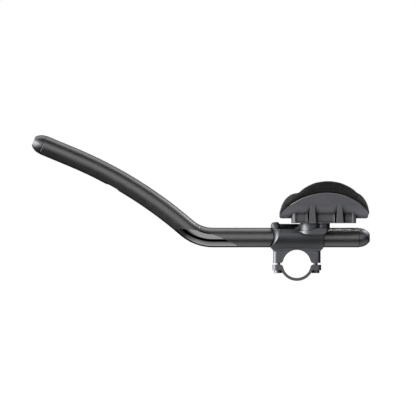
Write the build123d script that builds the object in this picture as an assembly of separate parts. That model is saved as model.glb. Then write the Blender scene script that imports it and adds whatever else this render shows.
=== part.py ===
from build123d import *
from math import cos, radians, sin, tan
import os

# Aero handlebar extension, left hand. Millimetres, +X rearward, +Y inboard, +Z up.
# The origin is the middle of the handlebar clamp, on the handlebar's axis.

# Handlebar and extension tube
bar_d = 31.8
bar_to_tube = 29.8
tube_d = 22.2
tube_wall = 2.0
tube_end_chamfer = 0.4
tube_rear_x = 70.5
bend_start_x = -94.7
bend_radius = 45.9
bend_angle = 40.9
sweep_radius = 474.7
sweep_angle = 18.3
tip_length = 36.5
port_length = 16.5
port_width = 8.3
port_along_sweep = 0.63

# End plugs
nose_length = 11.6
nose_end_r = 5.3
rear_nose_length = 12.0
rear_nose_end_r = 4.15
stem_length = 15.0
stem_core_r = 7.6
stem_barbs = 3
plug_fit = 0.05
seam_chamfer = 0.35

# Split sleeve of the clamp body
sleeve_rear_x = 30.2
ear_front_x = -27.8
waist_x = -25.5
waist_above_tube = 1.0
scoop_r = 17.4
foot_front_x = -29.8
foot_corner_r = 3.0
foot_cover = 1.0
sleeve_fit = 0.05
near_wall = 10.35
far_wall = 6.35
top_wall = 4.35
near_tuck = 10.0
near_tuck_above = 4.2
far_tuck = 7.0
top_curve_r = 13.5
corner_r = 7.5
corner_clear = 0.3
lip_bevel = 1.6
lip_bevel_height = 5.4
lip_bevel_from_x = -18.5
slit_gap = 0.9
slit_below_bore_top = 1.25
flap_edge_y = -12.0
flap_rear_x = 2.4
relief_slot = 1.2
ramp_length = 6.2
ramp_step = 0.6
ramp_root = 1.0

# Pinch bolt
pinch_x = -24.5
pinch_side_wall = 1.1
pinch_lean = 10.0
pinch_seat_drop = 0.7
pinch_ear_r = 5.2
head_room = 0.6
pinch_length = 16.0

# Bar clamp under the sleeve
bar_clamp_width = 27.0
band_overhang = 0.5
band_height = 2.5
band_skin = 0.1
band_inset = 1.6
band_relief = 1.5
arch_rise = 2.4
band_rise = 1.7
leg_outer_x = 26.8
leg_round = 4.5
leg_root = 1.0
leg_toe_r = 3.0
bar_gap_top = 1.1
bar_gap_bottom = 0.9
cap_strap = 3.2
cap_ear_height = 6.4
cap_ear_inner_x = 15.6
cap_ear_outer_x = 27.5
bar_bolt_x = 21.1
bar_bolt_length = 20.0
bar_head_sunk = 1.9

# Bolts: M5 throughout
bolt_r = 2.5
bolt_fit = 0.05
bolt_clearance = 0.25
cap_head_r = 4.5
cap_head_height = 5.0
head_chamfer = 0.4
button_head_r = 4.75
button_head_height = 2.75
button_rim = 0.5
button_flat_r = 2.4
hex_socket_af = 4.0
button_socket_af = 3.0
thread_spare = 1.5
washer_r = 5.0
washer_thickness = 1.0

# Armrest pedestal on the outboard side of the clamp body
cup_above_sleeve = 0.7
armrest_line_y = -22.0
armrest_bolt_pitch = 18.0
post_x = 30.2
post_r = 7.0
turret_x = 16.6
turret_y = -17.0
turret_r = 13.0
shelf_step = 2.0
shelf_height = 8.3
shelf_thin = 4.9
shelf_overhang = 6.2
shelf_edge = 1.8
shelf_tip = 0.8
shelf_keel = 7.5
shelf_end_height = 1.2
shelf_end_rise = 1.6
shelf_end_run = 1.0
shelf_scarf_front = 3.6
shelf_scarf_rear = 5.9
shelf_soft_r = 8.0
shelf_corner_r = 5.0
root_depth = 1.0
armrest_bolt_length = 12.0

# Armrest cup
cup_length = 100.0
cup_floor_flat = 10.0
cup_curve_r = 32.0
cup_wall_angle = 65.0
cup_wall = 3.0
cup_rise = 5.4
rim_height = 29.0
rim_peak_behind = 4.1
rim_front_low = 3.4
rim_rear_low = 7.6
cup_corner_r = 2.5
block_length = 73.0
block_half_width = 28.8
block_rail = 9.5
block_wall = 3.0
block_roof = 2.5
block_corner_r = 4.5
pocket_depth = 1.6
pocket_sill = 0.8
pocket_ridge = 0.4
rib_width = 8.2
rib_top_width = 5.0
rib_pitch = 30.8
rib_centre_x = 32.8
rib_top = 17.6
rib_proud = 0.9
rib_spread = 9.6
rib_groove = 1.5
rib_groove_depth = 3.0
hole_count = 3
head_sunk = 0.6

# Pad and the hook tape that holds it
tape_thickness = 1.35
tape_width = 18.0
tape_end_gap = 14.0
tape_reach = 13.0
tape_fit = 0.05
pad_fit = 0.2
pad_thickness = 9.0
pad_top = 42.2
pad_shoulder = 29.4
pad_front_over = 0.1
pad_rear_over = 1.0
pad_front_shoulder = 21.0
pad_rear_shoulder = 13.5

# Values worked out from the sizes above
bar_r = bar_d / 2
tube_r = tube_d / 2
tube_bore_r = tube_r - tube_wall
tube_z = bar_to_tube
sleeve_r = tube_r + sleeve_fit
near_y = -(sleeve_r + near_wall)
far_y = sleeve_r + far_wall
top_z = tube_z + sleeve_r + top_wall
slit_z = tube_z + sleeve_r - slit_below_bore_top
seat_z = top_z + cup_above_sleeve
pinch_seat_z = top_z - pinch_seat_drop
pinch_y = -(sleeve_r + pinch_side_wall + bolt_r + bolt_fit)
thread_r = bolt_r + bolt_fit
through_r = bolt_r + bolt_clearance
half_width = bar_clamp_width / 2
skirt_z = bar_r + band_height
front_bolt_x = post_x - armrest_bolt_pitch
cup_x = post_x
cup_y = armrest_line_y
cup_z = seat_z + cup_rise
rim_peak_x = cup_x + rim_peak_behind
tape_pitch = (cup_length - tape_width) / 2 - tape_end_gap
margin = 5.0
reach = 2 * cup_length
tolerance = 0.01


def across(profile, y_from, y_to):
    """Extrude a side view profile (X, Z) across the part, along Y."""
    return extrude(Plane.XZ.offset(-y_from) * profile, y_from - y_to)


def along(profile, x_from, x_to):
    """Extrude a front view profile (Y, Z) along the part, along X."""
    return extrude(Plane.YZ.offset(x_from) * profile, x_to - x_from)


def upright(profile, z_from, z_to):
    """Extrude a plan view profile (X, Y) upwards, along Z."""
    return extrude(Plane.XY.offset(z_from) * profile, z_to - z_from)


def block(x_from, x_to, y_from, y_to, z_from, z_to):
    """A box between two corners."""
    size = (x_to - x_from, y_to - y_from, z_to - z_from)
    return Pos(x_from, y_from, z_from) * Box(*size, align=(Align.MIN, Align.MIN, Align.MIN))


def rod(axis, radius, start, end):
    """A cylinder along the plane's normal, between two distances from its origin."""
    return extrude(axis.offset(start) * Circle(radius), end - start)


def outline(*edges):
    """A face inside a closed run of edges."""
    return make_face(Curve() + list(edges))


def write(name, shape):
    """Save one node of the part."""
    shape.label = name
    export_step(shape, os.path.join("parts", name + ".step"))


def tube_path():
    """The tube's centre line, from its rear end forwards and up to its tip."""
    rear = Line((tube_rear_x, tube_z), (bend_start_x, tube_z))
    bend = JernArc(rear @ 1, rear % 1, bend_radius, -bend_angle)
    sweep_arc = JernArc(bend @ 1, bend % 1, sweep_radius, sweep_angle)
    tip = PolarLine(sweep_arc @ 1, tip_length, direction=sweep_arc % 1)
    return [Plane.XZ * edge for edge in (rear, bend, sweep_arc, tip)]


def extension_tube(path):
    """The bent tube with its cable port."""
    line = Wire([edge.edge() for edge in path])
    start = Plane(origin=line @ 0, z_dir=line % 0)
    tube = sweep(start * Circle(tube_r), line) - sweep(start * Circle(tube_bore_r), line)
    port_at = path[2] @ port_along_sweep
    forward = path[2] % port_along_sweep
    under = forward.cross(Vector(0, 1, 0))
    if under.Z > 0:
        under = -under
    port_plane = Plane(origin=port_at, x_dir=forward, z_dir=under)
    port = extrude(port_plane * SlotOverall(port_length, port_width), tube_r + margin)
    rims = [edge for end in tube.faces().filter_by(GeomType.PLANE) for edge in end.outer_wire().edges()]
    return chamfer(rims, tube_end_chamfer) - port


def dome_arc(start_r, end_r, length):
    """Half the outline of a round dome on the axis, between two radii a length apart."""
    centre = (length**2 + end_r**2 - start_r**2) / (2 * length)
    dome_r = (centre**2 + start_r**2) ** 0.5
    middle_r = (dome_r**2 - (length / 2 - centre) ** 2) ** 0.5
    return ThreePointArc((start_r, 0), (middle_r, length / 2), (end_r, length))


def nose_arc(seam_r, end_r, length):
    """Half the outline of a bullet nose, which leaves the seam in line with the tube."""
    drop = seam_r - end_r
    radius = (drop**2 + length**2) / (2 * drop)
    middle_r = seam_r - radius + (radius**2 - (length / 2) ** 2) ** 0.5
    return ThreePointArc((seam_r, 0), (middle_r, length / 2), (end_r, length))


def end_plug(end, length, end_r):
    """A plug whose axis leaves the tube along the plane's normal."""
    barb_r = tube_bore_r - plug_fit
    seam_r = tube_r - seam_chamfer
    pitch = stem_length / stem_barbs
    barbs = [(barb_r, 0)]
    for number in range(stem_barbs):
        barbs += [(barb_r, -(number + 0.5) * pitch), (stem_core_r, -(number + 1) * pitch)]
    profile = outline(
        nose_arc(seam_r, end_r, length),
        Polyline((end_r, length), (0, length), (0, -stem_length), barbs[-1]),
        Polyline(*reversed(barbs)),
        Line((barb_r, 0), (seam_r, 0)),
    )
    side = Plane(origin=end.origin, x_dir=end.x_dir, z_dir=end.x_dir.cross(end.z_dir))
    return revolve(side * profile, axis=Axis(end.origin, end.z_dir))


def bolt(seat, head, length):
    """A bolt whose head stands on the plane and whose shank runs back below it."""
    return (head + rod(seat, bolt_r, -length, 0)).clean()


def cap_head(seat):
    """A cylindrical head with a hexagon socket."""
    head = rod(seat, cap_head_r, 0, cap_head_height)
    head = chamfer(head.faces().sort_by(Axis(seat.origin, seat.z_dir))[-1].edges(), head_chamfer)
    return head - hex_socket(seat, hex_socket_af, cap_head_height)


def button_head(seat):
    """A domed head with a hexagon socket."""
    side = Plane(origin=seat.origin, x_dir=seat.x_dir, z_dir=seat.x_dir.cross(seat.z_dir))
    top = button_head_height
    dome = outline(
        Polyline((button_flat_r, top), (0, top), (0, 0), (button_head_r, 0), (button_head_r, button_rim)),
        Pos(0, button_rim) * dome_arc(button_head_r, button_flat_r, top - button_rim),
    )
    head = revolve(side * dome, axis=Axis(seat.origin, seat.z_dir))
    return head - hex_socket(seat, button_socket_af, button_head_height)


def hex_socket(seat, across_flats, height):
    """The hexagon hole, half as deep as the head."""
    hexagon = RegularPolygon(across_flats / 2, 6, major_radius=False)
    return extrude(seat.offset(height / 2) * hexagon, height)


def pinch_plane():
    """The pinch bolt's seat on the ear, leaning forwards."""
    lean = radians(pinch_lean)
    return Plane(origin=(pinch_x, pinch_y, pinch_seat_z), x_dir=(0, 1, 0), z_dir=(-sin(lean), 0, cos(lean)))


def tuck_arc(side_y, tuck, depth, above):
    """An arc from a side's upright face down to its foot, which is tucked in by the given amount."""
    height = depth + above
    radius = (tuck**2 + height**2) / (2 * abs(tuck))
    bow = radius - (radius**2 - (height / 2) ** 2) ** 0.5
    middle = (side_y + (bow if tuck > 0 else -bow), above - height / 2)
    return ThreePointArc((side_y, above), middle, (side_y + tuck, -depth))


def sleeve_section():
    """Front view of the sleeve: flat top, round far side and a thick near wall."""
    depth = tube_z - (skirt_z - arch_rise - foot_cover)
    top = top_z - tube_z
    shoulder = far_y - top_curve_r
    drop = top - top_curve_r
    face = outline(
        Line((near_y, top), (shoulder, top)),
        RadiusArc((shoulder, top), (far_y, drop), top_curve_r),
        Line((far_y, drop), (far_y, 0)),
        tuck_arc(far_y, -far_tuck, depth, 0),
        Line((far_y - far_tuck, -depth), (near_y + near_tuck, -depth)),
        tuck_arc(near_y, near_tuck, depth, near_tuck_above),
        Line((near_y, near_tuck_above), (near_y, top)),
    )
    return Pos(0, tube_z) * face


def arch(z_middle, rise, x_from, x_to, z_top, end_r):
    """Side view of a slab whose underside is a long arch, with rounded lower ends."""
    half = max(-x_from, x_to)
    low_front = z_middle - rise * (x_from / half) ** 2
    low_rear = z_middle - rise * (x_to / half) ** 2
    face = outline(
        ThreePointArc((x_from, low_front), (0, z_middle), (x_to, low_rear)),
        Polyline((x_to, low_rear), (x_to, z_top), (x_from, z_top), (x_from, low_front)),
    )
    return fillet(face.vertices().sort_by(Axis.Y)[:2], end_r)


def front_scoop():
    """What lies behind the hollow front face, with its near corner rounded off."""
    near = near_y - corner_clear
    profile = outline(
        Polyline(
            (near + corner_r, scoop_r),
            (far_y + margin, scoop_r),
            (far_y + margin, reach),
            (near, reach),
            (near, scoop_r + corner_r),
        ),
        RadiusArc((near, scoop_r + corner_r), (near + corner_r, scoop_r), -corner_r),
    )
    centre = (waist_x - scoop_r, 0, tube_z + waist_above_tube)
    plane = Plane(origin=centre, x_dir=(0, 1, 0), z_dir=(1, 0, 0))
    return revolve(plane * profile, axis=Axis(centre, (0, 1, 0)))


def sleeve():
    """The sleeve: its section, side view and hollow front, cut to one another."""
    side = arch(skirt_z, arch_rise, foot_front_x, sleeve_rear_x, top_z, foot_corner_r)
    body = along(sleeve_section(), foot_front_x, sleeve_rear_x)
    body &= across(side, near_y - margin, far_y + margin)
    body &= front_scoop()
    body -= block(-reach, ear_front_x, -reach, reach, slit_z, reach)
    bevel_z = slit_z - lip_bevel_height
    bevel = make_face(
        Polyline(
            (near_y, bevel_z),
            (near_y + lip_bevel, slit_z),
            (near_y + lip_bevel, top_z + margin),
            (near_y - margin, top_z + margin),
            (near_y - margin, bevel_z),
            close=True,
        )
    )
    return body - along(bevel, lip_bevel_from_x, sleeve_rear_x + margin)


def split(body):
    """Cut the slit, the flap's round near edge and the relief slot that frees the flap."""
    slot_x = flap_rear_x + relief_slot
    body -= block(-reach, flap_rear_x, -reach, 0, slit_z, slit_z + slit_gap)
    flap_round = rod(Plane.YZ, sleeve_r + top_wall, -reach, reach).moved(Pos(0, 0, tube_z))
    body -= block(-reach, flap_rear_x, -reach, 0, slit_z, reach) - flap_round
    return body - block(flap_rear_x, slot_x, flap_edge_y - relief_slot, reach, tube_z + sleeve_r / 2, reach)


def bar_half():
    """The upper half of the bar clamp: the arched band and the two legs."""
    band_z = bar_r + band_skin
    band_half = half_width + band_overhang
    band_ends = (foot_front_x + band_inset, sleeve_rear_x - band_inset)
    band_side = arch(band_z, band_rise, *band_ends, skirt_z + leg_root, foot_corner_r)
    band = across(band_side, -band_half, band_half)
    leg_height = bar_r + leg_root - bar_gap_top
    front_view = Rectangle(2 * leg_outer_x, leg_height, align=(Align.CENTER, Align.MIN))
    front_view = Pos(0, bar_gap_top) * front_view - Circle(bar_r)
    toes = front_view.vertices().group_by(Axis.Y)[0].sort_by(Axis.X)[1:3]
    legs = across(fillet(toes, leg_toe_r), -half_width, half_width)
    legs = fillet(outer_edges(legs, leg_outer_x), leg_round)
    relief = rod(Plane.XZ, bar_r + band_relief, half_width, reach)
    return band + legs - relief - relief.mirror(Plane.XZ)


def outer_edges(body, end_x):
    """The upright edges at a body's two ends."""
    return body.edges().filter_by(Axis.Z).filter_by(lambda e: abs(abs(e.center().X) - end_x) < tolerance)


def shelf_side(tip_x, end_x, low, top):
    """Side view of the shelf: a thin prow in front, a deep middle and a slanted end."""
    thin_top = low + shelf_thin
    side = make_face(
        Polyline(
            (tip_x, thin_top - shelf_tip),
            (tip_x + shelf_keel, low),
            (sleeve_rear_x, low),
            (sleeve_rear_x + shelf_end_run, low + shelf_end_rise),
            (end_x, top - shelf_end_height),
            (end_x, top),
            (turret_x + shelf_scarf_rear, top),
            (turret_x - shelf_scarf_front, thin_top),
            (tip_x, thin_top),
            close=True,
        )
    )
    soft = side.vertices().filter_by_position(Axis.X, tip_x + tolerance, sleeve_rear_x - tolerance)
    return fillet(soft, shelf_soft_r)


def shelf_plan(tip_x, end_x, near):
    """Plan view of the shelf: round under the turret, square to the rear."""
    corner = shelf_corner_r
    return outline(
        RadiusArc((turret_x, near), (tip_x, turret_y), turret_x - tip_x),
        Polyline((tip_x, turret_y), (turret_x, -sleeve_r), (end_x, near_y), (end_x, near + corner)),
        RadiusArc((end_x, near + corner), (end_x - corner, near), corner),
        Line((end_x - corner, near), (turret_x, near)),
    )


def pedestal():
    """The armrest's turret, post and the shelf under them, outboard of the sleeve."""
    shelf_r = turret_r + shelf_step
    near = turret_y - shelf_r
    top = seat_z - cup_rise
    low = top - shelf_height
    tip_x = turret_x - shelf_r
    end_x = sleeve_rear_x + shelf_overhang
    turret = Pos(turret_x, turret_y) * upright(Circle(turret_r), low + shelf_thin - root_depth, seat_z)
    post = Pos(post_x, armrest_line_y) * upright(Circle(post_r), top - root_depth, seat_z)
    shelf = across(shelf_side(tip_x, end_x, low, top), near - margin, 0)
    shelf &= upright(shelf_plan(tip_x, end_x, near), low, top)
    near_edges = shelf.edges().filter_by(Axis.X).group_by(Axis.Y)[0]
    return turret + post + fillet(near_edges.sort_by(Axis.Z)[0], shelf_edge)


def ramp():
    """The gusset that runs from the sleeve's lip up to the turret."""
    foot_x = flap_rear_x + relief_slot - ramp_length
    head_x = turret_x - turret_r + root_depth
    side = make_face(
        Polyline(
            (foot_x, slit_z - ramp_root),
            (foot_x, slit_z),
            (foot_x + ramp_length, top_z - ramp_step),
            (head_x, top_z),
            (head_x, slit_z - ramp_root),
            close=True,
        )
    )
    return across(side, near_y + lip_bevel, flap_edge_y - relief_slot)


def pinch_ear(seat):
    """The flap's ear: a boss under the bolt head and the arm that joins it to the flap."""
    arm = Rectangle(-pinch_y, 2 * pinch_ear_r, align=(Align.MIN, Align.CENTER))
    ear = rod(seat, pinch_ear_r, -reach, 0) + extrude(seat * arm, -reach)
    return ear & block(-reach, 0, -reach, 0, slit_z + slit_gap, reach)


def clamp_body():
    """The forged clamp body."""
    seat = pinch_plane()
    body = split(sleeve()) + bar_half() + pedestal() + ramp()
    body += pinch_ear(seat)
    body -= rod(seat, pinch_ear_r + head_room, 0, reach)
    body -= rod(Plane.YZ, sleeve_r, -reach, reach).moved(Pos(0, 0, tube_z))
    body -= rod(Plane.XZ, bar_r, -reach, reach)
    through = (pinch_seat_z - slit_z) / cos(radians(pinch_lean))
    body -= rod(seat, through_r, -through, 0)
    body -= rod(seat, thread_r, -pinch_length - thread_spare, 0)
    for x in (-bar_bolt_x, bar_bolt_x):
        body -= rod(bar_seat(x), thread_r, -bar_bolt_length - thread_spare, 0)
    for x in (front_bolt_x, post_x):
        body -= rod(armrest_seat(x), thread_r, -armrest_bolt_length - thread_spare, 0)
    return body


def bar_seat(x):
    """Where a bar bolt's head bears in the cap, with the head pointing down."""
    seat_depth = -bar_gap_bottom - cap_ear_height + bar_head_sunk
    return Plane(origin=(x, 0, seat_depth), x_dir=(1, 0, 0), z_dir=(0, 0, -1))


def armrest_seat(x):
    """Where an armrest bolt's head bears on its washer in the cup's floor."""
    depth = button_head_height + head_sunk
    return Plane(origin=(x, armrest_line_y, cup_z + cup_wall - depth), x_dir=(1, 0, 0), z_dir=(0, 0, 1))


def bar_clamp_cap():
    """The strap below the handlebar, with an ear for each bolt."""
    ear_width = cap_ear_outer_x - cap_ear_inner_x
    ear = Rectangle(ear_width, cap_ear_height, align=(Align.CENTER, Align.MAX))
    ear_x = cap_ear_inner_x + ear_width / 2
    below = Rectangle(4 * bar_d, 2 * bar_d, align=(Align.CENTER, Align.MAX))
    front_view = Circle(bar_r + cap_strap) & Pos(0, -bar_gap_bottom) * below
    front_view += [Pos(x, -bar_gap_bottom) * ear for x in (-ear_x, ear_x)]
    front_view -= Circle(bar_r)
    toes = front_view.vertices().group_by(Axis.Y)[-1].sort_by(Axis.X)[1:3]
    cap = across(fillet(toes, leg_toe_r), -half_width, half_width)
    cap = fillet(outer_edges(cap, cap_ear_outer_x), leg_round)
    for x in (-bar_bolt_x, bar_bolt_x):
        seat = bar_seat(x)
        cap -= rod(seat, through_r, -cap_ear_height, 0)
        cap -= rod(seat, cap_head_r + bolt_clearance, 0, cap_head_height)
    return cap


def trough(inset):
    """Front view of what lies inside the cup's outer face, moved in by an inset."""
    radius = cup_curve_r - inset
    turn = radians(cup_wall_angle)
    half = radians(cup_wall_angle / 2)
    low = inset
    knee = (cup_floor_flat + radius * sin(turn), low + radius * (1 - cos(turn)))
    mid = (cup_floor_flat + radius * sin(half), low + radius * (1 - cos(half)))
    top = pad_top + margin
    end = (knee[0] + (top - knee[1]) / tan(turn), top)
    edges = [
        Line((-cup_floor_flat, low), (cup_floor_flat, low)),
        ThreePointArc((cup_floor_flat, low), mid, knee),
        Polyline(knee, end, (-end[0], top), (-knee[0], knee[1])),
        ThreePointArc((-knee[0], knee[1]), (-mid[0], mid[1]), (-cup_floor_flat, low)),
    ]
    return Pos(cup_y, cup_z) * outline(*edges)


def rim_arc(end_x, end_z):
    """Half of the rim, from its level peak down to one end of the cup."""
    drop = rim_height - end_z
    run = end_x - rim_peak_x
    radius = (run**2 + drop**2) / (2 * drop)
    half_drop = radius - (radius**2 - (run / 2) ** 2) ** 0.5
    middle = (rim_peak_x + run / 2, rim_height - half_drop)
    return ThreePointArc((rim_peak_x, rim_height), middle, (end_x, end_z))


def cup_side():
    """Side view of the cup: flat underside with rounded corners and an arched rim."""
    front = cup_x - cup_length / 2
    rear = cup_x + cup_length / 2
    face = outline(
        Polyline((rear, rim_rear_low), (rear, 0), (front, 0), (front, rim_front_low)),
        rim_arc(front, rim_front_low),
        rim_arc(rear, rim_rear_low),
    )
    return Pos(0, cup_z) * fillet(face.vertices().group_by(Axis.Y)[0], cup_corner_r)


def cup_shell():
    """The trough itself."""
    wall = along(trough(0) - trough(cup_wall), cup_x - cup_length, cup_x + cup_length)
    return wall & across(cup_side(), cup_y - cup_length, cup_y + cup_length)


def cup_block():
    """The base block under the trough, with side pockets, ribs and a cored underside."""
    front = cup_x - block_length / 2
    rear = cup_x + block_length / 2
    ribs = [rib_centre_x - rib_pitch / 2, rib_centre_x + rib_pitch / 2]
    body = block(front, rear, cup_y - block_half_width, cup_y + block_half_width, seat_z, cup_z + rib_top)
    body = fillet(body.edges().filter_by(Axis.Z), block_corner_r)
    for side in (-1, 1):
        for hollow in side_hollows(front, ribs, rear):
            cut = hollow if side < 0 else hollow.mirror(Plane.XZ)
            body -= Pos(0, cup_y + side * block_half_width) * cut
    for side in (-1, 1):
        body += [rib(x, side) for x in ribs]
        inner = cup_y + side * block_rail
        outer = cup_y + side * (block_half_width - rib_groove_depth - block_wall)
        for x_from, x_to in cores(front, ribs, rear):
            body -= block(x_from, x_to, *sorted((inner, outer)), seat_z - margin, cup_z - block_roof)
    return body - along(trough(0), front - margin, rear + margin)


def side_hollows(front, ribs, rear):
    """The pockets and the rib grooves in the block's near face, with that face at Y zero."""
    beside = rib_width / 2 + rib_groove
    top = cup_z + rib_top
    hollows = [block(x - beside, x + beside, -margin, rib_groove_depth, seat_z - margin, top) for x in ribs]
    ends = [front + block_corner_r, *ribs, rear - block_corner_r]
    for number, (x_from, x_to) in enumerate(zip(ends, ends[1:])):
        x_from += beside if number > 0 else 0
        x_to -= beside + pocket_ridge if number < len(ribs) else 0
        plan = make_face(
            Polyline(
                (x_from, -margin),
                (x_from, pocket_depth),
                (x_to - pocket_depth, pocket_depth),
                (x_to, 0),
                (x_to, -margin),
                close=True,
            )
        )
        hollows.append(upright(plan, seat_z + pocket_sill, top))
    return hollows


def cores(front, ribs, rear):
    """Lengths of the hollows under the block, between its cross walls."""
    half = block_wall / 2
    stations = [front + half, *ribs, rear - half]
    return [(a + half, b - half) for a, b in zip(stations, stations[1:])]


def rib(x, side):
    """One gusset up the outside of the cup, narrower towards its top."""
    half = rib_width / 2
    top_half = rib_top_width / 2
    high = cup_z + rib_top
    front_view = make_face(
        Polyline(
            (cup_y, seat_z),
            (cup_y + side * (block_half_width + rib_proud), seat_z),
            (cup_y + side * (block_half_width + rib_spread), high),
            (cup_y, high),
            close=True,
        )
    )
    foot = [(x - half, seat_z), (x + half, seat_z)]
    head = [(x + top_half, high), (x - top_half, high)]
    side_view = make_face(Polyline(*foot, *head, close=True))
    return along(front_view, x - rib_width, x + rib_width) & across(side_view, cup_y - reach, cup_y + reach)


def armrest_cup():
    """The moulded cup with its row of bolt holes."""
    cup = cup_shell() + cup_block()
    for number in range(hole_count):
        seat = armrest_seat(front_bolt_x + number * armrest_bolt_pitch)
        cup -= rod(seat, through_r, -reach, margin)
        cup -= rod(seat, washer_r + bolt_clearance, -washer_thickness, margin)
    return cup


def hook_strip(x):
    """A strip of hook tape across the trough's floor and up both sides."""
    band = trough(cup_wall + tape_fit) - trough(cup_wall + tape_fit + tape_thickness)
    strip = along(band, x - tape_width / 2, x + tape_width / 2)
    low = cup_z + cup_wall
    return strip & block(x - tape_width, x + tape_width, -reach, reach, low, low + tape_reach)


def armrest_pad():
    """The foam pad: a thick trough with a domed wing on each side."""
    inset = cup_wall + tape_fit + tape_thickness + pad_fit
    front = cup_x - cup_length / 2 - pad_front_over
    rear = cup_x + cup_length / 2 + pad_rear_over
    dome_front = front + pad_front_shoulder
    dome_rear = rear - pad_rear_shoulder
    top_x = (dome_front + dome_rear) / 2
    low = inset
    front_turn = pad_front_shoulder * (1 - sin(radians(45)))
    rear_turn = pad_rear_shoulder * (1 - sin(radians(45)))
    rise = (pad_shoulder - low) * sin(radians(45))
    side = outline(
        ThreePointArc((front, low), (front + front_turn, low + rise), (dome_front, pad_shoulder)),
        ThreePointArc((dome_front, pad_shoulder), (top_x, pad_top), (dome_rear, pad_shoulder)),
        ThreePointArc((dome_rear, pad_shoulder), (rear - rear_turn, low + rise), (rear, low)),
        Line((rear, low), (front, low)),
    )
    section = trough(inset) - trough(inset + pad_thickness)
    pad = along(section, front - margin, rear + margin)
    return pad & across(Pos(0, cup_z) * side, cup_y - cup_length, cup_y + cup_length)


def washer(seat):
    """A flat washer under a bolt head."""
    return rod(seat, washer_r, -washer_thickness, 0) - rod(seat, through_r, -washer_thickness, 0)


os.makedirs("parts", exist_ok=True)

path = tube_path()
tip_end = Plane(origin=path[3] @ 1, x_dir=(0, 1, 0), z_dir=path[3] % 1)
rear_end = Plane(origin=path[0] @ 0, x_dir=(0, 1, 0), z_dir=(1, 0, 0))
write("extension_tube", extension_tube(path))
write("front_plug", end_plug(tip_end, nose_length, nose_end_r))
write("rear_plug", end_plug(rear_end, rear_nose_length, rear_nose_end_r))

write("clamp_body", clamp_body())
write("bar_clamp_cap", bar_clamp_cap())
for name, x in (("front", -bar_bolt_x), ("rear", bar_bolt_x)):
    write("bar_bolt_" + name, bolt(bar_seat(x), cap_head(bar_seat(x)), bar_bolt_length))
write("pinch_bolt", bolt(pinch_plane(), button_head(pinch_plane()), pinch_length))

write("armrest_cup", armrest_cup())
for name, x in (("front", front_bolt_x), ("rear", post_x)):
    write("armrest_bolt_" + name, bolt(armrest_seat(x), button_head(armrest_seat(x)), armrest_bolt_length))
    write("armrest_washer_" + name, washer(armrest_seat(x)))
for number, name in enumerate(("front", "middle", "rear")):
    write("hook_strip_" + name, hook_strip(cup_x + (number - 1) * tape_pitch))
write("armrest_pad", armrest_pad())
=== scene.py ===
import bpy
import math
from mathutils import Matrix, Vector


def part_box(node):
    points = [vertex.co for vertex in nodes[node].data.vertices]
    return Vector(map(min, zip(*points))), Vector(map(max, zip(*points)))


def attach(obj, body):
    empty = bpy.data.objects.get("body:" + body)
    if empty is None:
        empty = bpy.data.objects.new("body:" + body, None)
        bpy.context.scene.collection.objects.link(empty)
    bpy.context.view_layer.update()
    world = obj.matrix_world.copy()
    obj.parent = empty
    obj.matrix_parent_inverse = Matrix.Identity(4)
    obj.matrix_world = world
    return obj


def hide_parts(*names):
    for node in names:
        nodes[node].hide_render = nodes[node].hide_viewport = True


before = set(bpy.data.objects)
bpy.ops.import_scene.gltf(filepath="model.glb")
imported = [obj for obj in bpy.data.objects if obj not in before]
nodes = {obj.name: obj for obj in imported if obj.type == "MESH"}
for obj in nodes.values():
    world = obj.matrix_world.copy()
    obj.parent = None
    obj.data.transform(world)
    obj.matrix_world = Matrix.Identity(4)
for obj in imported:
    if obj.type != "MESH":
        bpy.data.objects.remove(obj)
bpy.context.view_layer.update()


# small helpers for objects

def pickOnly(obj):
    bpy.ops.object.select_all(action="DESELECT")
    obj.select_set(True)
    bpy.context.view_layer.objects.active = obj


def startEdit():  # edit mode, with all of the active mesh selected
    bpy.ops.object.mode_set(mode="EDIT")
    bpy.ops.mesh.select_all(action="SELECT")


def endEdit():
    bpy.ops.object.mode_set(mode="OBJECT")


def applyPlace(obj):  # the place goes into the mesh, the object stays at the origin
    pickOnly(obj)
    bpy.ops.object.transform_apply(location=True, rotation=True, scale=True)


def facing(start, target):  # turn that points a lamp's -Z at the target
    return (Vector(target) - Vector(start)).to_track_quat("-Z", "Y").to_euler()


# small helpers for nodes

def feedSocket(tree, socket, value):  # a link from another socket, or a plain value
    if isinstance(value, bpy.types.NodeSocket):
        tree.links.new(value, socket)
    elif socket.type == "RGBA":
        socket.default_value = (*value, 1.0)
    else:
        socket.default_value = value


def feed(tree, node, links):
    for name, value in links.items():
        feedSocket(tree, node.inputs[name], value)


def put(tree, kind, links=None, **props):  # one node, with its settings made and its sockets fed
    node = tree.nodes.new(kind)
    for name, value in props.items():
        setattr(node, name, value)
    feed(tree, node, links or {})
    return node


def mathNode(tree, operation, *values):
    return put(tree, "ShaderNodeMath", dict(enumerate(values)), operation=operation).outputs[0]


def vectorNode(tree, operation, *values):
    return put(tree, "ShaderNodeVectorMath", dict(enumerate(values)), operation=operation).outputs


def ramp(tree, value, low, high, toLow=0.0, toHigh=1.0):  # value from low..high to toLow..toHigh
    links = {"Value": value, "From Min": low, "From Max": high, "To Min": toLow, "To Max": toHigh}
    return put(tree, "ShaderNodeMapRange", links, clamp=True).outputs["Result"]


def mixValue(tree, factor, first, second):
    return put(tree, "ShaderNodeMix", {"Factor": factor, "A": first, "B": second}).outputs["Result"]


def mixColour(tree, factor, first, second):
    node = put(tree, "ShaderNodeMix", {"Factor": factor}, data_type="RGBA")
    sockets = [socket for socket in node.inputs if socket.type == "RGBA"]
    for socket, value in zip(sockets, (first, second)):
        feedSocket(tree, socket, value)
    return [socket for socket in node.outputs if socket.type == "RGBA"][0]


def noiseNode(tree, coords, scale, detail):
    links = {"Vector": coords, "Scale": scale, "Detail": detail}
    return put(tree, "ShaderNodeTexNoise", links).outputs["Fac"]


def bumpNode(tree, look, height, **props):
    links = {"Strength": look["bump"], "Distance": look["bumpDepth"], "Height": height}
    return put(tree, "ShaderNodeBump", links, **props)


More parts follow.
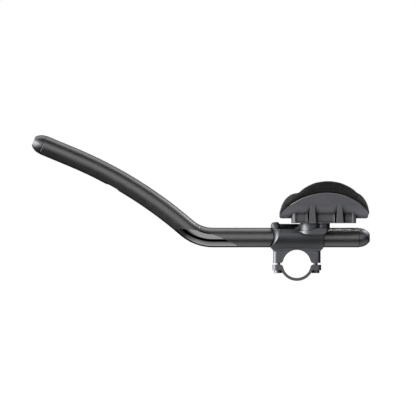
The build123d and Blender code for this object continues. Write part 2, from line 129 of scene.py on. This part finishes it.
def objectCoords(tree):
    return put(tree, "ShaderNodeTexCoord").outputs["Object"]


def axesOf(tree, coords):
    return put(tree, "ShaderNodeSeparateXYZ", {"Vector": coords}).outputs


def distance(tree, value, middle):
    return mathNode(tree, "ABSOLUTE", mathNode(tree, "SUBTRACT", value, middle))


def product(tree, values):
    whole = values[0]
    for value in values[1:]:
        whole = mathNode(tree, "MULTIPLY", whole, value)
    return whole


def newMaterial(name):  # material with an empty node tree
    mat = bpy.data.materials.new(name)
    mat.use_nodes = True
    mat.node_tree.nodes.clear()
    return mat, mat.node_tree


def newFinish(name, constants):  # material with a bare shader, constants on its own sockets
    mat, tree = newMaterial(name)
    shader = put(tree, "ShaderNodeBsdfPrincipled", constants)
    put(tree, "ShaderNodeOutputMaterial", {"Surface": shader.outputs["BSDF"]})
    return mat, tree, shader


def newGroup(name, inputs, outputs):  # shader node group with named sockets
    group = bpy.data.node_groups.new(name, "ShaderNodeTree")
    for direction, sockets in (("INPUT", inputs), ("OUTPUT", outputs)):
        for label, kind in sockets.items():
            group.interface.new_socket(name=label, in_out=direction, socket_type="NodeSocket" + kind)
    return group, put(group, "NodeGroupInput").outputs, put(group, "NodeGroupOutput")


def useGroup(tree, group, links):
    return put(tree, "ShaderNodeGroup", links, node_tree=group).outputs


# camera: level and side on, a long lens from far back

cameraSet = {
    "x": -0.1004, "z": 0.0632, "distance": 20.0, "frameWidth": 0.4701, "sensor": 36.0, "clipEnd": 400.0,
}


def makeCamera(view):
    place = (view["x"], -view["distance"], view["z"])
    bpy.ops.object.camera_add(location=place, rotation=(math.pi / 2, 0, 0))
    cam = bpy.context.object
    cam.name = "sideCamera"
    cam.data.sensor_width = view["sensor"]
    cam.data.lens = view["sensor"] * view["distance"] / view["frameWidth"]
    cam.data.clip_end = view["clipEnd"]
    bpy.context.scene.camera = cam


bpy.ops.object.select_all(action="DESELECT")
makeCamera(cameraSet)
print("camera set")


# effects that several finishes share

effectSet = {
    "fineDetail": 3.0, "broadDetail": 2.0, "broadTimes": 60.0,  # the clouds are this many times the grain
    "edgeSamples": 6, "edgeCosine": 0.8,  # a normal that turns as far as this is a full edge
    "creaseSamples": 8,
    "noiseSpread": (0.3, 0.7),  # where nearly all the values of a noise lie
}


def makeGrainGroup(effect):  # fine grain for bump, and broad clouds for tone and gloss
    inputs = {"Vector": "Vector", "Size": "Float"}
    group, start, end = newGroup("surfaceGrain", inputs, {"Fine": "Float", "Broad": "Float"})
    fine = noiseNode(group, start["Vector"], start["Size"], effect["fineDetail"])
    broadSize = mathNode(group, "DIVIDE", start["Size"], effect["broadTimes"])
    broad = noiseNode(group, start["Vector"], broadSize, effect["broadDetail"])
    feed(group, end, {"Fine": fine, "Broad": broad})
    return group


def makeEdgeGroup(effect):  # broken edges: a rounded normal and a mask along each edge
    group, start, end = newGroup("brokenEdge", {"Radius": "Float"}, {"Normal": "Vector", "Edge": "Float"})
    bevel = put(group, "ShaderNodeBevel", {"Radius": start["Radius"]}, samples=effect["edgeSamples"])
    rounded = bevel.outputs["Normal"]
    flat = put(group, "ShaderNodeNewGeometry").outputs["Normal"]
    cosine = vectorNode(group, "DOT_PRODUCT", rounded, flat)["Value"]
    feed(group, end, {"Normal": rounded, "Edge": ramp(group, cosine, 1.0, effect["edgeCosine"])})
    return group


def makeCreaseGroup(effect):  # 1 on open faces, less in corners and narrow gaps; it sets where shade is painted
    inputs = {"Reach": "Float", "Black": "Float", "Clear": "Float"}
    group, start, end = newGroup("creaseShade", inputs, {"Open": "Float"})
    links = {"Distance": start["Reach"]}
    around = put(group, "ShaderNodeAmbientOcclusion", links, samples=effect["creaseSamples"])
    feed(group, end, {"Open": ramp(group, around.outputs["AO"], start["Black"], start["Clear"])})
    return group


grainGroup = makeGrainGroup(effectSet)
edgeGroup = makeEdgeGroup(effectSet)
creaseGroup = makeCreaseGroup(effectSet)


def noiseRamp(tree, noise, toLow, toHigh):
    return ramp(tree, noise, *effectSet["noiseSpread"], toLow, toHigh)


def openness(tree, look):  # 1 on open faces and 0 in creases, by the settings of one finish
    black, clear = look["creaseRange"]
    return useGroup(tree, creaseGroup, {"Reach": look["crease"], "Black": black, "Clear": clear})["Open"]


def shaderValues(look):  # constants that go straight on the shader's sockets
    return {
        "Metallic": look.get("metallic", 0.0),
        "Specular IOR Level": look.get("specular", 0.5),
        "Specular Tint": (look.get("edgeTint", 1.0),) * 3,
    }


def addGrainAndEdges(tree, shader, look):  # tone, gloss, bump, painted shade in creases and pale edges from one dictionary
    coords = objectCoords(tree)
    grain = useGroup(tree, grainGroup, {"Vector": coords, "Size": look["grainSize"]})
    rough = noiseRamp(tree, grain["Broad"], *look["roughness"])
    tone = mixColour(tree, grain["Broad"], look["dark"], look["light"])
    bump = bumpNode(tree, look, grain["Fine"])
    if "crease" in look:
        # painted shade: corners, narrow gaps and contacts are darkened towards creaseTone
        opened = openness(tree, look)
        paintedShade = tuple(value * look["creaseTone"] for value in look["dark"])
        tone = mixColour(tree, opened, paintedShade, tone)
        if "metallic" not in look:  # painted shade: the darkened crease loses its gloss too
            feed(tree, shader, {"Metallic": ramp(tree, opened, 0.0, 1.0, 1.0, 0.0)})
    if "edgeRadius" in look:
        edge = useGroup(tree, edgeGroup, {"Radius": look["edgeRadius"]})
        # the edges are made paler with the edge colour: partly wear, partly a painted highlight
        wearAndPaintedLight = mathNode(tree, "MULTIPLY", edge["Edge"], look["edgeShow"])
        tone = mixColour(tree, wearAndPaintedLight, tone, look["edge"])
        if "edgeRough" in look:  # handling has polished the edges
            rough = mixValue(tree, edge["Edge"], rough, look["edgeRough"])
        feed(tree, bump, {"Normal": edge["Normal"]})
    feed(tree, shader, {"Base Color": tone, "Roughness": rough, "Normal": bump.outputs["Normal"]})
    return coords, rough, tone


# extension tube: satin black anodising, with a plain gloss field round the bend

tubeLook = {
    "metallic": 1.0, "edgeTint": 0.35,
    "grainSize": 6000.0, "roughness": (0.37, 0.41), "bump": 0.01, "bumpDepth": 0.00001,
    "dark": (0.149, 0.149, 0.148), "light": (0.161, 0.161, 0.160),
    "crease": 0.0012, "creaseTone": 0.1, "creaseRange": (0.90, 1.0),
}
glossField = {  # edge of the field: height over x, a level, a slope and a curl about one point
    "x": -0.110, "z": 0.0372, "slope": -0.20, "curl": -4.5, "soft": 0.00025,
    "roughness": 0.06, "colour": (0.30, 0.30, 0.297),
}
scaleMarks = {  # pale lines across the top of the rear end, for setting the reach
    "first": 0.0431, "last": 0.0675, "pitch": 0.0057, "width": 0.0007, "halfLength": 0.0035,
    "above": 0.0345, "colour": (0.62, 0.62, 0.60), "roughness": 0.5,
}


def markMask(tree, axes, marks):  # 1 on the lines of the scale
    first, last, width = marks["first"], marks["last"], marks["width"]
    steps = mathNode(tree, "DIVIDE", mathNode(tree, "SUBTRACT", axes["X"], first), marks["pitch"])
    offLine = distance(tree, steps, mathNode(tree, "ROUND", steps))
    return product(tree, (
        mathNode(tree, "LESS_THAN", offLine, width / marks["pitch"] / 2),
        mathNode(tree, "LESS_THAN", mathNode(tree, "ABSOLUTE", axes["Y"]), marks["halfLength"]),
        mathNode(tree, "GREATER_THAN", axes["Z"], marks["above"]),
        mathNode(tree, "GREATER_THAN", axes["X"], first - width),
        mathNode(tree, "LESS_THAN", axes["X"], last + width),
    ))


def makeTubeFinish(look, field, marks):
    mat, tree, shader = newFinish("tubeAnodised", shaderValues(look))
    coords, rough, tone = addGrainAndEdges(tree, shader, look)
    axes = axesOf(tree, coords)
    run = mathNode(tree, "SUBTRACT", axes["X"], field["x"])
    slope = mathNode(tree, "MULTIPLY_ADD", run, field["curl"], field["slope"])
    line = mathNode(tree, "MULTIPLY_ADD", run, slope, field["z"])
    below = mathNode(tree, "SUBTRACT", line, axes["Z"])
    inField = ramp(tree, below, -field["soft"], field["soft"])
    printed = markMask(tree, axes, marks)
    for mask, layer in ((inField, field), (printed, marks)):
        rough = mixValue(tree, mask, rough, layer["roughness"])
        tone = mixColour(tree, mask, tone, layer["colour"])
    bare = mathNode(tree, "SUBTRACT", 1.0, printed)
    feed(tree, shader, {"Base Color": tone, "Roughness": rough, "Metallic": bare})
    return mat


# end plugs: moulded, with a satin skin close to the tube's

plugLook = {
    "metallic": 1.0, "edgeTint": 0.6,
    "grainSize": 2500.0, "roughness": (0.38, 0.43), "bump": 0.02, "bumpDepth": 0.00003,
    "dark": (0.128, 0.129, 0.140), "light": (0.140, 0.141, 0.153),
    "crease": 0.0012, "creaseTone": 0.1, "creaseRange": (0.90, 1.0),
}

# clamp body and cap: forged, bead blasted and anodised

clampLook = {
    "metallic": 1.0, "edgeTint": 0.6,
    "grainSize": 3800.0, "roughness": (0.40, 0.45), "bump": 0.06, "bumpDepth": 0.00004,
    "dark": (0.110, 0.112, 0.121), "light": (0.124, 0.126, 0.137),
    "edgeRadius": 0.0007, "edge": (0.18, 0.182, 0.19), "edgeShow": 0.4,
    "crease": 0.007, "creaseTone": 0.08, "creaseRange": (0.25, 0.85),
}

# bolts and washers

boltLook = {
    "metallic": 1.0, "edgeTint": 0.6,
    "grainSize": 4000.0, "roughness": (0.28, 0.36), "bump": 0.05, "bumpDepth": 0.00003,
    "dark": (0.10, 0.10, 0.105), "light": (0.13, 0.13, 0.135),
    "edgeRadius": 0.0003, "edge": (0.22, 0.22, 0.22), "edgeShow": 0.5,
}
washerLook = {
    "metallic": 1.0,
    "grainSize": 3000.0, "roughness": (0.28, 0.38), "bump": 0.05, "bumpDepth": 0.00002,
    "dark": (0.42, 0.42, 0.41), "light": (0.52, 0.52, 0.50),
    "edgeRadius": 0.0002, "edge": (0.6, 0.6, 0.58), "edgeShow": 0.5,
}


def makePlainFinish(name, look):
    mat, tree, shader = newFinish(name, shaderValues(look))
    addGrainAndEdges(tree, shader, look)
    return mat


# armrest cup: glass filled nylon with a fine moulded texture

cupLook = {
    "specular": 0.9,
    "grainSize": 2200.0, "roughness": (0.40, 0.47), "bump": 0.08, "bumpDepth": 0.00006,
    "dark": (0.056, 0.057, 0.066), "light": (0.067, 0.068, 0.079),
    "edgeRadius": 0.0014, "edge": (0.19, 0.193, 0.210), "edgeShow": 0.5, "edgeRough": 0.22,
    "crease": 0.0055, "creaseTone": 0.10, "creaseRange": (0.45, 0.97),
}
pocketShade = {  # painted shade on the pockets' floors: how far from the cup's middle, then their middle, length and top
    "halfWidth": 0.0272, "depth": 0.0012, "x": 0.0302, "halfLength": 0.0330, "top": 0.0566,
    "black": (0.0, 0.0, 0.0), "tone": 0.36,
}


def makeCupFinish(look, field):  # painted shade: the floors of the pockets, in their recesses, are darkened
    mat, tree, shader = newFinish("cupMoulded", shaderValues(look))
    coords, _, tone = addGrainAndEdges(tree, shader, look)
    low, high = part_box("armrest_cup")
    axes = axesOf(tree, coords)
    side = distance(tree, axes["Y"], (low.y + high.y) / 2)
    onFloor = product(tree, (
        mathNode(tree, "LESS_THAN", distance(tree, side, field["halfWidth"]), field["depth"]),
        mathNode(tree, "LESS_THAN", distance(tree, axes["X"], field["x"]), field["halfLength"]),
        mathNode(tree, "LESS_THAN", axes["Z"], field["top"]),
    ))
    paintedShade = mixColour(tree, field["tone"], field["black"], tone)
    feed(tree, shader, {"Base Color": mixColour(tree, onFloor, tone, paintedShade)})
    return mat


# hook tape: woven band set with small hooks

tapeLook = {
    "hookSize": 900.0, "hookStray": 0.25, "bump": 0.8, "bumpDepth": 0.0004,
    "dark": (0.010, 0.010, 0.011), "light": (0.030, 0.030, 0.032), "roughness": 0.6, "specular": 0.3,
}


def makeTapeFinish(look):
    constants = {"Specular IOR Level": look["specular"], "Roughness": look["roughness"]}
    mat, tree, shader = newFinish("hookTape", constants)
    links = {"Vector": objectCoords(tree), "Scale": look["hookSize"], "Randomness": look["hookStray"]}
    hooks = put(tree, "ShaderNodeTexVoronoi", links).outputs["Distance"]
    bump = bumpNode(tree, look, hooks, invert=True)
    tone = mixColour(tree, hooks, look["light"], look["dark"])
    feed(tree, shader, {"Base Color": tone, "Normal": bump.outputs["Normal"]})
    return mat


# pad cloth: brushed loop knit laminated to foam, with painted light that makes it paler towards both ends

clothLook = {
    "loop": 0.0011, "loopStray": 0.45, "loopReach": 0.7,
    "fuzz": {"scale": 1400.0, "detail": 2.0, "tone": (0.4, 1.0)},
    "cloud": {"scale": 45.0, "detail": 3.0, "tone": (0.6, 1.0)},
    "mottle": {"scale": 380.0, "detail": 1.0, "tone": (0.5, 1.4)},
    # paleDark, middleTone, paleFrom and paleCurve set the painted light at both ends
    "dark": (0.006, 0.006, 0.006), "paleDark": (0.034, 0.034, 0.034), "light": (0.20, 0.20, 0.20),
    "middleTone": 0.15, "paleFrom": 0.3, "paleCurve": 2.0,
    "crease": 0.0018, "creaseTone": (0.001, 0.001, 0.001), "creaseRange": (0.45, 0.9),
    "bump": 0.5, "bumpDepth": 0.0003, "roughness": (0.8, 0.95), "specular": 0.15,
    "sheen": 0.2, "sheenRough": 0.4,
}


def noiseTone(tree, coords, layer):  # one layer of unevenness in the cloth
    noise = noiseNode(tree, coords, layer["scale"], layer["detail"])
    return noiseRamp(tree, noise, *layer["tone"])


def makeClothFinish(look):
    mat, tree, shader = newFinish("padCloth", {
        "Specular IOR Level": look["specular"],
        "Sheen Weight": look["sheen"], "Sheen Roughness": look["sheenRough"],
    })
    weave = put(tree, "ShaderNodeUVMap", uv_map="clothMap").outputs["UV"]
    links = {"Vector": weave, "Scale": 1 / look["loop"], "Randomness": look["loopStray"]}
    loops = put(tree, "ShaderNodeTexVoronoi", links).outputs["Distance"]
    hills = ramp(tree, loops, 0.0, look["loopReach"], 1.0, 0.0)
    coords = objectCoords(tree)
    pile = mathNode(tree, "MULTIPLY", hills, noiseTone(tree, coords, look["fuzz"]))
    low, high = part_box("armrest_pad")
    offMiddle = distance(tree, axesOf(tree, coords)["X"], (low.x + high.x) / 2)
    toEnd = mathNode(tree, "DIVIDE", offMiddle, (high.x - low.x) / 2)
    # painted light: the knit turns paler towards both ends of the pad
    paintedEndLight = mathNode(tree, "POWER", ramp(tree, toEnd, look["paleFrom"], 1.0), look["paleCurve"])
    wearAndPaintedLight = product(tree, (
        pile, noiseTone(tree, coords, look["cloud"]), noiseTone(tree, coords, look["mottle"]),
        ramp(tree, paintedEndLight, 0.0, 1.0, look["middleTone"], 1.0),
    ))
    hollow = mixColour(tree, paintedEndLight, look["dark"], look["paleDark"])
    tone = mixColour(tree, wearAndPaintedLight, hollow, look["light"])
    # painted shade: creases and the gap along the cup's rim are darkened nearly to black
    tone = mixColour(tree, openness(tree, look), look["creaseTone"], tone)
    rough = ramp(tree, pile, 0.0, 1.0, *look["roughness"])
    bump = bumpNode(tree, look, pile)
    feed(tree, shader, {"Base Color": tone, "Roughness": rough, "Normal": bump.outputs["Normal"]})
    return mat


finishes = {
    "tube_anodised": makeTubeFinish(tubeLook, glossField, scaleMarks),
    "plug_moulded": makePlainFinish("plugMoulded", plugLook),
    "clamp_anodised": makePlainFinish("clampAnodised", clampLook),
    "bolt_black": makePlainFinish("boltBlack", boltLook),
    "cup_moulded": makeCupFinish(cupLook, pocketShade),
    "washer_steel": makePlainFinish("washerSteel", washerLook),
    "hook_tape": makeTapeFinish(tapeLook),
    "pad_cloth": makeClothFinish(clothLook),
}
slotOfNode = {
    "extension_tube": "tube_anodised", "front_plug": "plug_moulded", "rear_plug": "plug_moulded",
    "clamp_body": "clamp_anodised", "bar_clamp_cap": "clamp_anodised", "armrest_cup": "cup_moulded",
    "armrest_pad": "pad_cloth",
}
for word, slotName in (("bolt", "bolt_black"), ("washer", "washer_steel"), ("hook_strip", "hook_tape")):
    slotOfNode.update({name: slotName for name in nodes if word in name})
for name, slotName in slotOfNode.items():
    nodes[name].material_slots[0].material = finishes[slotName]
print("finishes on %d nodes" % len(slotOfNode))


# armrest pad: foam in knit cloth, blown up a little by a cloth run

padCut = {
    "merge": 0.00001, "voxel": 0.002, "smooth": 2, "smoothBy": 0.5, "shrink": 0.0004,
    "pressure": 5.0, "frames": 20, "maxMove": 0.0022, "fill": 0.85,
    "axisHeight": 0.040, "halfWidth": 0.045, "wrapRadius": 0.032,
    "rimBehind": 0.0041, "rimFrontRadius": 0.070, "rimRearRadius": 0.060, "rimGap": 0.0006,
    "tuckDepth": 0.0032, "tuckWidth": 0.0030,
    "endLength": 0.016, "endDepth": 0.007, "endDrop": 0.0012, "dropCurve": 4,
}


def makePad(cut):
    pad = bpy.data.objects.new("armrestPad", nodes["armrest_pad"].data.copy())
    bpy.context.scene.collection.objects.link(pad)
    pickOnly(pad)
    startEdit()
    bpy.ops.mesh.remove_doubles(threshold=cut["merge"])
    bpy.ops.mesh.normals_make_consistent(inside=False)
    endEdit()
    pad.data.remesh_voxel_size = cut["voxel"]
    bpy.ops.object.voxel_remesh()
    startEdit()
    bpy.ops.mesh.vertices_smooth(factor=cut["smoothBy"], repeat=cut["smooth"])
    bpy.ops.transform.shrink_fatten(value=-cut["shrink"])
    endEdit()
    blowUp(pad, cut)
    tuckEdge(pad, cut)
    roundEnds(pad, cut)
    soft = pad.modifiers.new("softer", "SUBSURF")
    soft.levels = soft.render_levels = 1
    bpy.ops.object.modifier_apply(modifier=soft.name)
    fitToSolid(pad)
    bpy.ops.object.shade_smooth()
    wrapCloth(pad, cut)
    pad.data.materials.clear()
    pad.data.materials.append(finishes["pad_cloth"])
    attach(pad, "clamp")
    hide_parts("armrest_pad")


def rimHeight(x, cup, cut):  # height of the cup's rim over x
    low, high = cup
    run = x - (low.x + high.x) / 2 - cut["rimBehind"]
    radius = cut["rimFrontRadius"] if run < 0 else cut["rimRearRadius"]
    return high.z - radius + math.sqrt(max(radius ** 2 - run ** 2, 0.0))


def padAxis(cut):  # middle of the trough, which its section curves about
    low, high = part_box("armrest_pad")
    return (low.y + high.y) / 2, low.z + cut["axisHeight"]


def blowUp(pad, cut):  # pressure fills the cloth above the rim, and the cup holds it below
    middleY, axisZ = padAxis(cut)
    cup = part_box("armrest_cup")
    held = pad.vertex_groups.new(name="heldByCup")
    for vertex in pad.data.vertices:
        outward = vertex.normal.y * (vertex.co.y - middleY) + vertex.normal.z * (vertex.co.z - axisZ)
        if outward > 0 and vertex.co.z < rimHeight(vertex.co.x, cup, cut) + cut["rimGap"]:
            held.add([vertex.index], 1.0, "REPLACE")
    rest = [vertex.co.copy() for vertex in pad.data.vertices]
    cloth = pad.modifiers.new("cloth", "CLOTH")
    cloth.settings.use_pressure = True
    cloth.settings.uniform_pressure_force = cut["pressure"]
    cloth.settings.vertex_group_mass = held.name
    cloth.settings.effector_weights.gravity = 0.0
    scene = bpy.context.scene
    for number in range(1, cut["frames"] + 1):
        scene.frame_set(number)
    bpy.ops.object.modifier_apply(modifier=cloth.name)
    for vertex, start in zip(pad.data.vertices, rest):
        move = vertex.co - start
        if move.length > cut["maxMove"]:
            vertex.co = start + move.normalized() * cut["maxMove"]
    scene.frame_set(1)
    pad.vertex_groups.clear()


def tuckEdge(pad, cut):  # the outer face turns in just above the cup's rim
    middleY, axisZ = padAxis(cut)
    low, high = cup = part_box("armrest_cup")
    for vertex in pad.data.vertices:
        out = Vector((0.0, vertex.co.y - middleY, vertex.co.z - axisZ)).normalized()
        above = (vertex.co.z - rimHeight(vertex.co.x, cup, cut)) / cut["tuckWidth"]
        toEnd = min(vertex.co.x - low.x, high.x - vertex.co.x) / cut["endLength"]
        if vertex.normal.dot(out) > 0 and above < 1 and toEnd > 0:
            depth = cut["tuckDepth"] * (1 - max(above, 0.0) ** 2) * min(toEnd, 1.0)
            vertex.co.y -= depth * out.y


def roundEnds(pad, cut):  # the corners are cut round, and still lie on the trough
    middleY, axisZ = padAxis(cut)
    low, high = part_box("armrest_pad")
    for vertex in pad.data.vertices:
        toEnd = max(min(vertex.co.x - low.x, high.x - vertex.co.x), 0.0)
        turn = max(1 - toEnd / cut["endLength"], 0.0)
        inward = cut["endDepth"] * (1 - math.sqrt(1 - turn ** 2))
        across, down = vertex.co.y - middleY, axisZ - vertex.co.z
        reach = math.hypot(across, down)
        angle = math.atan2(across, down) * (1 - inward / cut["halfWidth"])
        vertex.co.y = middleY + reach * math.sin(angle)
        vertex.co.z = axisZ - reach * math.cos(angle) - cut["endDrop"] * turn ** cut["dropCurve"]


def fitToSolid(pad):  # stretched to the length and height of the foam block it is cut from
    low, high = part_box("armrest_pad")
    points = [vertex.co for vertex in pad.data.vertices]
    lowX, highX = min(p.x for p in points), max(p.x for p in points)
    lowZ, highZ = min(p.z for p in points), max(p.z for p in points)
    stretch = ((high.x - low.x) / (highX - lowX), 1.0, (high.z - lowZ) / (highZ - lowZ))
    pivot = ((low.x + high.x) / 2, 0.0, lowZ)
    startEdit()
    bpy.ops.transform.translate(value=((low.x + high.x - lowX - highX) / 2, 0.0, 0.0))
    bpy.ops.transform.resize(value=stretch, center_override=pivot)
    endEdit()


def wrapCloth(pad, cut):  # cloth map: along the forearm, and round the trough
    middleY, axisZ = padAxis(cut)
    layer = pad.data.uv_layers.new(name="clothMap")
    for loop in pad.data.loops:
        point = pad.data.vertices[loop.vertex_index].co
        turn = math.atan2(point.y - middleY, axisZ - point.z)
        layer.data[loop.index].uv = (point.x, turn * cut["wrapRadius"])


makePad(padCut)
print("pad made")


# floor, lamps and cards

stageSet = {
    "floorZ": -0.20, "floorSize": 8.0, "floorTone": 0.8, "worldFill": 0.35, "white": 1.0,
    "nearGlow": 0.2, "fadeFrom": 0.22, "fadeTo": 0.46,
    "middle": (-0.10, 0.0, 0.0), "fadeShape": (0.55, 1.0, 0.0),
}
tableSet = {  # what gloss sees of the table: its light end, and the depth and level of each stripe
    "z": -0.198, "size": 7.9, "span": 1.0, "top": 1.15, "darkX": -0.30, "lightX": -0.19, "darkEnd": 0.12,
    "stripes": ((-0.76, 0.87), (-0.68, 0.0), (-0.20, 0.0), (-0.18, 0.28), (0.10, 1.0), (0.13, 0.03)),
}
lampWatts = 4.0  # per square metre of lamp, for a radiance of 1
lampSpread = 180.0  # degrees, where a lamp names no other
lampSet = {
    "frontBox": {
        "place": (-0.10, -2.00, 0.72), "target": (-0.10, 0.0, 0.05), "size": (2.4, 1.5),
        "radiance": 0.8, "inGloss": False,
    },
    "leftBox": {
        "place": (-1.60, -0.10, 0.06), "target": (0.0, 0.0, 0.05), "size": (2.2, 1.8),
        "radiance": 6.5, "skips": ("armrest_cup", "front_plug"),
    },
    "leftCupBox": {
        "place": (-1.10, -0.25, 1.15), "target": (0.0, 0.0, 0.05), "size": (1.0, 1.0),
        "radiance": 4.0, "lights": ("armrest_cup",),
    },
    "leftSoftBox": {
        "place": (-1.60, -0.10, 0.06), "target": (0.0, 0.0, 0.05), "size": (2.2, 1.8),
        "radiance": 3.5, "lights": ("front_plug",),
    },
    "leftFill": {
        "place": (-1.25, -1.40, 0.10), "target": (-0.05, 0.0, 0.05), "size": (0.9, 1.2),
        "radiance": 1.5,
    },
    "topBox": {
        "place": (-0.10, 0.506, 1.28), "target": (-0.10, 0.0, 0.05), "size": (2.6, 1.32),
        "radiance": 0.8,
    },
    "rightBox": {
        "place": (0.40, 0.22, 0.45), "target": (0.08, 0.0, 0.05), "size": (0.3, 0.3),
        "radiance": 4.0,
    },
    "rimBox": {  # the bright line on the front half of the cup's rim
        "place": (-0.93, -0.66, 0.50), "target": (0.0, -0.06, 0.07), "size": (0.4, 0.9),
        "radiance": 11.0, "lights": ("armrest_cup",),
    },
    "tubeStrip": {  # the long highlight goes on under the armrest
        "place": (0.058, 0.062, 0.334), "target": (0.058, 0.0, 0.041), "size": (0.06, 0.12),
        "radiance": 0.75, "spread": 70.0, "directOnly": True,
        "lights": ("extension_tube", "front_plug", "rear_plug"), "shadedBy": ("clamp_body",),
    },
}
cardSet = {
    "highCard": {
        "middle": (-0.10, -0.60, 0.90), "size": (2.4, 1.07), "turn": (0, 0, 0), "tone": 0.0,
    },
    "rightCard": {
        "middle": (0.55, 0.225, 0.025), "size": (0.45, 1.35), "turn": (0, math.pi / 2, 0), "tone": 0.02,
    },
    "backCard": {
        "middle": (-0.10, 1.00, 0.45), "size": (3.0, 1.30), "turn": (math.pi / 2, 0, 0), "tone": 0.10,
    },
}


def seenByEye(tree):  # 1 for rays from the camera, from gloss and through glass
    path = put(tree, "ShaderNodeLightPath").outputs
    eye = mathNode(tree, "MAXIMUM", path["Is Camera Ray"], path["Is Glossy Ray"])
    return mathNode(tree, "MAXIMUM", eye, path["Is Transmission Ray"])


def makeWorld(stage):
    world = bpy.data.worlds.new("studio")
    bpy.context.scene.world = world
    world.use_nodes = True
    tree = world.node_tree
    tree.nodes.clear()
    level = ramp(tree, seenByEye(tree), 0.0, 1.0, stage["worldFill"], stage["white"])
    back = put(tree, "ShaderNodeBackground", {"Color": (1, 1, 1), "Strength": level})
    put(tree, "ShaderNodeOutputWorld", {"Surface": back.outputs["Background"]})
    world.cycles.sampling_method = "NONE"


def floorGlow(tree, stage):  # the floor fades to white away from the object
    away = vectorNode(tree, "SUBTRACT", objectCoords(tree), stage["middle"])["Vector"]
    away = vectorNode(tree, "MULTIPLY", away, stage["fadeShape"])["Vector"]
    away = vectorNode(tree, "LENGTH", away)["Value"]
    fade = ramp(tree, away, stage["fadeFrom"], stage["fadeTo"], stage["nearGlow"], stage["white"])
    return mathNode(tree, "MULTIPLY", fade, seenByEye(tree))


def makeFloor(stage):
    bpy.ops.mesh.primitive_plane_add(size=stage["floorSize"], location=(0, 0, stage["floorZ"]))
    floor = bpy.context.object
    floor.name = "floor"
    mat, tree = newMaterial("paleFloor")
    paper = put(tree, "ShaderNodeBsdfDiffuse", {"Color": (stage["floorTone"],) * 3})
    glow = put(tree, "ShaderNodeEmission", {"Strength": floorGlow(tree, stage)})
    both = put(tree, "ShaderNodeAddShader", {0: paper.outputs["BSDF"], 1: glow.outputs["Emission"]})
    put(tree, "ShaderNodeOutputMaterial", {"Surface": both.outputs["Shader"]})
    mat.cycles.emission_sampling = "NONE"
    floor.data.materials.append(mat)


def linkNodes(name, members, state):  # the nodes that a lamp lights, skips or is shaded by
    group = bpy.data.collections.new(name)
    for member in members:
        group.objects.link(nodes[member])
    for entry in group.collection_objects:
        entry.light_linking.link_state = state
    return group


def makeLamp(name, box):
    place, (width, height) = box["place"], box["size"]
    bpy.ops.object.light_add(type="AREA", location=place, rotation=facing(place, box["target"]))
    lamp = bpy.context.object
    lamp.name = name
    lamp.data.shape = "RECTANGLE"
    lamp.data.size = width
    lamp.data.size_y = height
    lamp.data.energy = lampWatts * width * height * box["radiance"]
    lamp.data.spread = math.radians(box.get("spread", lampSpread))
    lamp.visible_camera = False
    lamp.visible_glossy = box.get("inGloss", True)
    lamp.data.cycles.use_multiple_importance_sampling = not box.get("directOnly", False)
    links = lamp.light_linking
    if "lights" in box:
        links.receiver_collection = linkNodes(name + "Lights", box["lights"], "INCLUDE")
    if "skips" in box:
        links.receiver_collection = linkNodes(name + "Skips", box["skips"], "EXCLUDE")
    if "shadedBy" in box:
        links.blocker_collection = linkNodes(name + "ShadedBy", box["shadedBy"], "INCLUDE")


def makeCard(name, middle, size, turn, tone):  # only reflections see a card
    bpy.ops.mesh.primitive_plane_add(size=1, location=middle, rotation=turn)
    card = bpy.context.object
    card.name = name
    card.scale = (*size, 1)
    applyPlace(card)
    mat, tree = newMaterial(name + "Paint")
    paint = put(tree, "ShaderNodeEmission", {"Strength": tone})
    put(tree, "ShaderNodeOutputMaterial", {"Surface": paint.outputs["Emission"]})
    mat.cycles.emission_sampling = "NONE"
    card.data.materials.append(mat)
    for kind in ("camera", "diffuse", "shadow", "transmission", "volume_scatter"):
        setattr(card, "visible_" + kind, False)
    return tree, paint


def tableGlow(tree, table):  # dark and light stripes along the table
    axes = axesOf(tree, objectCoords(tree))
    span, top = table["span"], table["top"]
    stripes = put(tree, "ShaderNodeValToRGB", {"Fac": ramp(tree, axes["Y"], -span, span)})
    stops = stripes.color_ramp.elements
    depths, levels = zip(*table["stripes"])
    places = [(depth / span + 1) / 2 for depth in depths]
    for place in places[1:-1]:
        stops.new(place)
    stops[0].position = places[0]
    stops[len(places) - 1].position = places[-1]
    for stop, level in zip(stops, levels):
        stop.color = (level, level, level, 1)
    length = ramp(tree, axes["X"], table["darkX"], table["lightX"], table["darkEnd"] * top, top)
    return mathNode(tree, "MULTIPLY", stripes.outputs["Color"], length)


def makeTable(table):
    side = table["size"]
    tree, paint = makeCard("tableStripes", (0, 0, table["z"]), (side, side), (0, 0, 0), 0.0)
    feed(tree, paint, {"Strength": tableGlow(tree, table)})


def makeStage():
    makeWorld(stageSet)
    makeFloor(stageSet)
    makeTable(tableSet)
    for name, values in lampSet.items():
        makeLamp(name, values)
    for name, values in cardSet.items():
        makeCard(name, **values)


makeStage()
bpy.context.scene.view_settings.view_transform = "Standard"
print("stage set")
